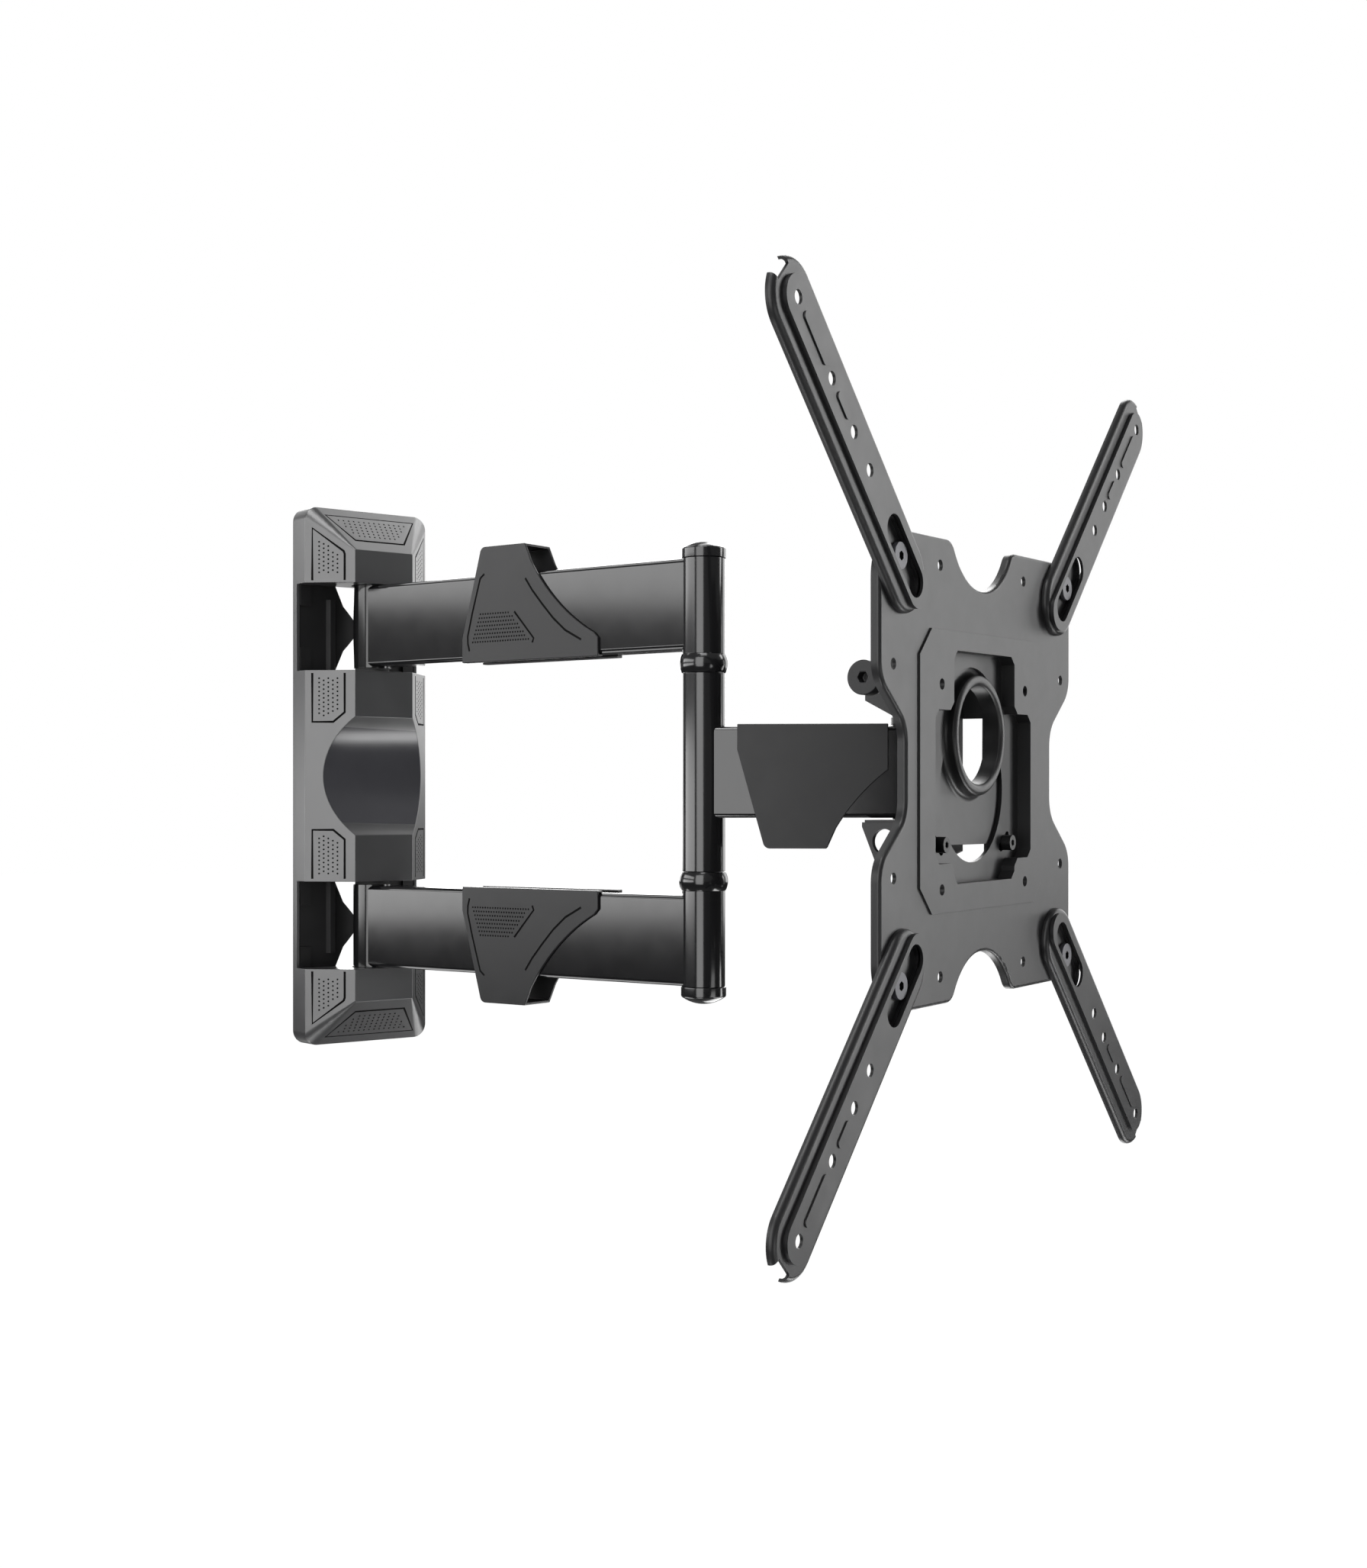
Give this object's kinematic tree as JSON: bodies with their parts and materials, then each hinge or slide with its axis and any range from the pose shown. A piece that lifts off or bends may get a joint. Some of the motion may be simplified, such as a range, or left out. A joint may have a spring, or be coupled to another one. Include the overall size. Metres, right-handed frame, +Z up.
{
  "type": "swivel wall mount for a flat screen",
  "caption": "Full-motion wall mount: paired arms on a covered wall bracket, a post, a folding front arm and a tilting, levelling plate with adjustable spider arms.",
  "frame": {"origin": "middle of the wall bracket's flat back face, where it meets the wall", "axes": "+X to the right when facing the wall, +Y into the wall along the bracket's normal, +Z up"},
  "size_m": [0.4184, 0.4398, 0.4407],
  "materials": {
    "satin_steel": "satin black powder coat",
    "gloss_steel": "semi-gloss black coat",
    "cover_plastic": "fine satin moulded",
    "black_plastic": "matte moulded",
    "post_plastic": "semi-gloss moulded",
    "black_zinc": "black zinc",
    "nylon": "plain moulded"
  },
  "bodies": {
    "wall": {"wall_bracket": "satin_steel", "wall_cover": "cover_plastic", "upper_hinge_pin": "black_zinc", "lower_hinge_pin": "black_zinc", "upper_hinge_spacer": "nylon", "lower_hinge_spacer": "nylon"},
    "rear_arms": {"upper_hinge_bushes": "nylon", "upper_hinge_sleeve": "satin_steel", "upper_rear_arm": "satin_steel", "upper_cable_clip": "black_plastic", "upper_post_tube": "gloss_steel", "upper_post_ring": "post_plastic", "upper_post_cap": "post_plastic", "lower_hinge_bushes": "nylon", "lower_hinge_sleeve": "satin_steel", "lower_rear_arm": "satin_steel", "lower_cable_clip": "black_plastic", "lower_post_tube": "gloss_steel", "lower_post_ring": "post_plastic", "lower_post_cap": "post_plastic", "post_pin": "black_zinc"},
    "front_arm": {"middle_post_tube": "gloss_steel", "middle_post_bushes": "nylon", "front_arm": "satin_steel", "head_sleeve": "satin_steel", "head_bushes": "nylon", "front_cable_clip": "black_plastic"},
    "head": {"head_yoke": "satin_steel", "head_pin": "black_zinc", "head_nut": "black_zinc", "tilt_pin": "black_zinc", "clamp_nut": "black_zinc"},
    "knob": {"tilt_knob": "black_plastic"},
    "tilt": {"tilt_bracket": "satin_steel", "left_level_screw": "black_zinc", "right_level_screw": "black_zinc"},
    "plate": {"screen_plate": "satin_steel", "upper_right_pivot_bolt": "black_zinc", "upper_right_pivot_nut": "black_zinc", "upper_left_pivot_bolt": "black_zinc", "upper_left_pivot_nut": "black_zinc", "lower_left_pivot_bolt": "black_zinc", "lower_left_pivot_nut": "black_zinc", "lower_right_pivot_bolt": "black_zinc", "lower_right_pivot_nut": "black_zinc"},
    "upper_right_spider": {"upper_right_spider_arm": "satin_steel"},
    "upper_left_spider": {"upper_left_spider_arm": "satin_steel"},
    "lower_left_spider": {"lower_left_spider_arm": "satin_steel"},
    "lower_right_spider": {"lower_right_spider_arm": "satin_steel"}
  },
  "joints": [
    {"name": "wall_swivel", "type": "hinge", "parent": "wall", "child": "rear_arms", "pos_m": [0, -0.0211, 0], "axis": [0, 0, 1], "range_deg": [-104.7, 75.2]},
    {"name": "post_swivel", "type": "hinge", "parent": "rear_arms", "child": "front_arm", "pos_m": [0.06107, -0.25341, 0], "axis": [0, 0, -1], "range_deg": [-100, 100]},
    {"name": "head_swivel", "type": "hinge", "parent": "front_arm", "child": "head", "pos_m": [0.13851, -0.32869, 0], "axis": [0, 0, 1], "range_deg": [-58.4, 113.6]},
    {"name": "tilt_hinge", "type": "hinge", "parent": "head", "child": "tilt", "pos_m": [0.14476, -0.34769, -0.015], "axis": [0.95, 0.3123, 0], "range_deg": [-5.3, 6.6]},
    {"name": "knob_turn", "type": "hinge", "parent": "head", "child": "knob", "pos_m": [0.08698, -0.34805, 0.0459], "axis": [0.95, 0.3123, 0], "range_deg": [-180, 180]},
    {"name": "level_turn", "type": "hinge", "parent": "tilt", "child": "plate", "pos_m": [0.14935, -0.36165, 0.01831], "axis": [0.3123, -0.95, -0.0059], "range_deg": [-3.6, 2.3]},
    {"name": "upper_right_spider_turn", "type": "hinge", "parent": "plate", "child": "upper_right_spider", "pos_m": [0.24717, -0.34211, 0.10103], "axis": [0.3123, -0.95, -0.0059], "range_deg": [-45, 45]},
    {"name": "upper_left_spider_turn", "type": "hinge", "parent": "plate", "child": "upper_left_spider", "pos_m": [0.05718, -0.40456, 0.09865], "axis": [0.3123, -0.95, -0.0059], "range_deg": [-45, 45]},
    {"name": "lower_left_spider_turn", "type": "hinge", "parent": "plate", "child": "lower_left_spider", "pos_m": [0.05907, -0.40269, -0.10133], "axis": [0.3123, -0.95, -0.0059], "range_deg": [-45, 45]},
    {"name": "lower_right_spider_turn", "type": "hinge", "parent": "plate", "child": "lower_right_spider", "pos_m": [0.24905, -0.34024, -0.09896], "axis": [0.3123, -0.95, -0.0059], "range_deg": [-45, 45]}
  ]
}
